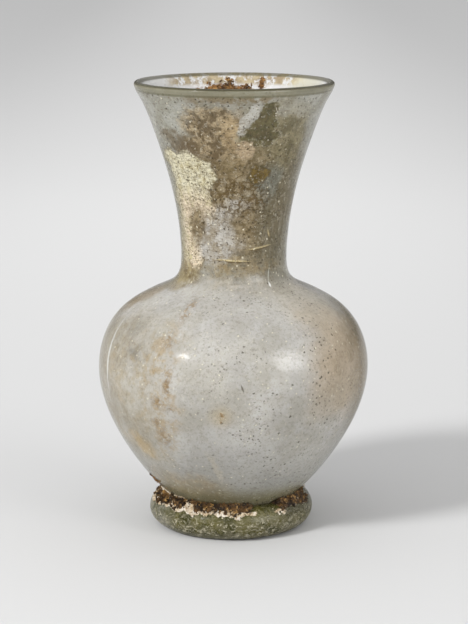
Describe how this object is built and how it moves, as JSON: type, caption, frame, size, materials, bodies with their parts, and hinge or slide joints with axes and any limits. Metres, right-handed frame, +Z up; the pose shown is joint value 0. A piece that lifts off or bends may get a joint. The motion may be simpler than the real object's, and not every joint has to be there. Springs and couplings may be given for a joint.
{
  "type": "glass perfume flask",
  "caption": "Free-blown glass perfume flask with a rounded body, a waisted neck opening into a wide funnel mouth with a rounded lip, and a thick glass coil wrapped round the base as its foot.",
  "frame": {"origin": "on the surface it stands on, at the centre of the foot", "axes": "+Z up along the neck, out of the mouth; the picture looks along +Y, with +X to its right"},
  "size_m": [0.0908, 0.0908, 0.15],
  "materials": {
    "vessel_glass": "pale greenish glass under a milky, speckled weathering film, with brown and cream crust on the neck",
    "foot_glass": "thick glossy olive-green glass with soil and cream crust in the seam above it"
  },
  "bodies": {
    "root": {"flask_body": "vessel_glass", "foot_ring": "foot_glass"}
  },
  "joints": []
}
